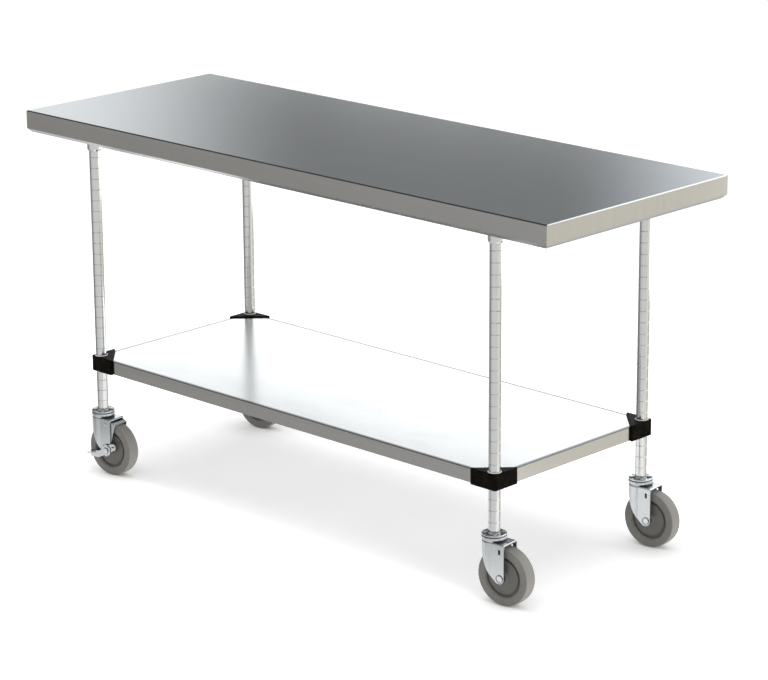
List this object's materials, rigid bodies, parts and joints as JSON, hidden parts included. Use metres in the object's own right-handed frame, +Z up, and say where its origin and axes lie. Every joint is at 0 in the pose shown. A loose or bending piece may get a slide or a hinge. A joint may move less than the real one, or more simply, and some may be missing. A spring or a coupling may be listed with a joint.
{
  "type": "mobile stainless work table",
  "caption": "Mobile stainless steel work table on grooved round posts, with a lower shelf in black corner brackets and swivel casters, some with foot brakes.",
  "frame": {"origin": "on the floor under the middle of the worktop", "axes": "+Z up, +X along the table towards the end without foot brakes, +Y towards the back; the front is -Y"},
  "size_m": [1.59, 0.58, 0.851],
  "materials": {
    "worktop_stainless": "brushed satin",
    "shelf_stainless": "brushed satin",
    "channel_steel": "plain sheet",
    "zinc_fastener": "zinc plated",
    "chromed_post": "bright plated",
    "white_plastic": "smooth",
    "black_plastic": "fine moulded texture",
    "zinc_pressing": "bright zinc plated",
    "ball_steel": "polished",
    "seal_plastic": "matt",
    "grey_tread": "smooth grey tread",
    "grey_core": "satin moulded",
    "bush_brass": "plain"
  },
  "bodies": {
    "frame": {"worktop_pan": "worktop_stainless", "front_stiffener": "channel_steel", "rear_stiffener": "channel_steel", "left_cross_channel": "channel_steel", "right_cross_channel": "channel_steel", "socket_bolts": "zinc_fastener", "socket_set_screws": "zinc_fastener", "split_sleeves": "white_plastic", "post_inserts": "zinc_fastener", "post_socket_front_left": "chromed_post", "post_front_left": "chromed_post", "caster_stem_front_left": "zinc_pressing", "post_socket_front_right": "chromed_post", "post_front_right": "chromed_post", "caster_stem_front_right": "zinc_pressing", "post_socket_rear_right": "chromed_post", "post_rear_right": "chromed_post", "caster_stem_rear_right": "zinc_pressing", "post_socket_rear_left": "chromed_post", "post_rear_left": "chromed_post", "caster_stem_rear_left": "zinc_pressing"},
    "shelf": {"shelf_pan": "shelf_stainless", "shelf_stiffener": "channel_steel", "bracket_screws": "zinc_fastener", "corner_bracket_front_left": "black_plastic", "corner_bracket_front_right": "black_plastic", "corner_bracket_rear_right": "black_plastic", "corner_bracket_rear_left": "black_plastic"},
    "caster_front_left": {"fork_front_left": "zinc_pressing", "swivel_seal_front_left": "seal_plastic", "swivel_balls_front_left": "ball_steel", "axle_fasteners_front_left": "zinc_fastener"},
    "wheel_front_left": {"tyre_front_left": "grey_tread", "wheel_hub_front_left": "grey_core", "wheel_bearing_front_left": "bush_brass"},
    "pedal_front_left": {"brake_pedal_front_left": "zinc_pressing"},
    "shoe_front_left": {"brake_shoe_front_left": "zinc_pressing"},
    "caster_front_right": {"fork_front_right": "zinc_pressing", "swivel_seal_front_right": "seal_plastic", "swivel_balls_front_right": "ball_steel", "axle_fasteners_front_right": "zinc_fastener"},
    "wheel_front_right": {"tyre_front_right": "grey_tread", "wheel_hub_front_right": "grey_core", "wheel_bearing_front_right": "bush_brass"},
    "caster_rear_right": {"fork_rear_right": "zinc_pressing", "swivel_seal_rear_right": "seal_plastic", "swivel_balls_rear_right": "ball_steel", "axle_fasteners_rear_right": "zinc_fastener"},
    "wheel_rear_right": {"tyre_rear_right": "grey_tread", "wheel_hub_rear_right": "grey_core", "wheel_bearing_rear_right": "bush_brass"},
    "caster_rear_left": {"fork_rear_left": "zinc_pressing", "swivel_seal_rear_left": "seal_plastic", "swivel_balls_rear_left": "ball_steel", "axle_fasteners_rear_left": "zinc_fastener"},
    "wheel_rear_left": {"tyre_rear_left": "grey_tread", "wheel_hub_rear_left": "grey_core", "wheel_bearing_rear_left": "bush_brass"},
    "pedal_rear_left": {"brake_pedal_rear_left": "zinc_pressing"},
    "shoe_rear_left": {"brake_shoe_rear_left": "zinc_pressing"}
  },
  "joints": [
    {"name": "shelf_lift", "type": "slide", "parent": "frame", "child": "shelf", "axis": [0, 0, 1], "range_m": [0, 0.48]},
    {"name": "swivel_front_left", "type": "hinge", "parent": "frame", "child": "caster_front_left", "pos_m": [-0.6165, -0.24025, 0.146], "axis": [0, 0, 1], "continuous": true},
    {"name": "roll_front_left", "type": "hinge", "parent": "caster_front_left", "child": "wheel_front_left", "pos_m": [-0.58467, -0.23691, 0.0635], "axis": [-0.1045, 0.9945, 0], "continuous": true},
    {"name": "brake_pedal_front_left", "type": "hinge", "parent": "caster_front_left", "child": "pedal_front_left", "pos_m": [-0.58467, -0.23691, 0.0635], "axis": [-0.1045, 0.9945, 0], "range_deg": [-15, 0]},
    {"name": "brake_shoe_front_left", "type": "hinge", "parent": "caster_front_left", "child": "shoe_front_left", "pos_m": [-0.58865, -0.23732, 0.124], "axis": [-0.1045, 0.9945, 0], "range_deg": [0, 3.3]},
    {"name": "swivel_front_right", "type": "hinge", "parent": "frame", "child": "caster_front_right", "pos_m": [0.6165, -0.24025, 0.146], "axis": [0, 0, 1], "continuous": true},
    {"name": "roll_front_right", "type": "hinge", "parent": "caster_front_right", "child": "wheel_front_right", "pos_m": [0.64833, -0.23691, 0.0635], "axis": [-0.1045, 0.9945, 0], "continuous": true},
    {"name": "swivel_rear_right", "type": "hinge", "parent": "frame", "child": "caster_rear_right", "pos_m": [0.6165, 0.24025, 0.146], "axis": [0, 0, 1], "continuous": true},
    {"name": "roll_rear_right", "type": "hinge", "parent": "caster_rear_right", "child": "wheel_rear_right", "pos_m": [0.64833, 0.2436, 0.0635], "axis": [-0.1045, 0.9945, 0], "continuous": true},
    {"name": "swivel_rear_left", "type": "hinge", "parent": "frame", "child": "caster_rear_left", "pos_m": [-0.6165, 0.24025, 0.146], "axis": [0, 0, 1], "continuous": true},
    {"name": "roll_rear_left", "type": "hinge", "parent": "caster_rear_left", "child": "wheel_rear_left", "pos_m": [-0.58467, 0.2436, 0.0635], "axis": [-0.1045, 0.9945, 0], "continuous": true},
    {"name": "brake_pedal_rear_left", "type": "hinge", "parent": "caster_rear_left", "child": "pedal_rear_left", "pos_m": [-0.58467, 0.2436, 0.0635], "axis": [-0.1045, 0.9945, 0], "range_deg": [-15, 0]},
    {"name": "brake_shoe_rear_left", "type": "hinge", "parent": "caster_rear_left", "child": "shoe_rear_left", "pos_m": [-0.58865, 0.24318, 0.124], "axis": [-0.1045, 0.9945, 0], "range_deg": [0, 3.3]}
  ],
  "couplings": [
    {"joint": "brake_shoe_front_left", "follows": "brake_pedal_front_left", "ratio": -0.2198},
    {"joint": "brake_shoe_rear_left", "follows": "brake_pedal_rear_left", "ratio": -0.2198}
  ]
}
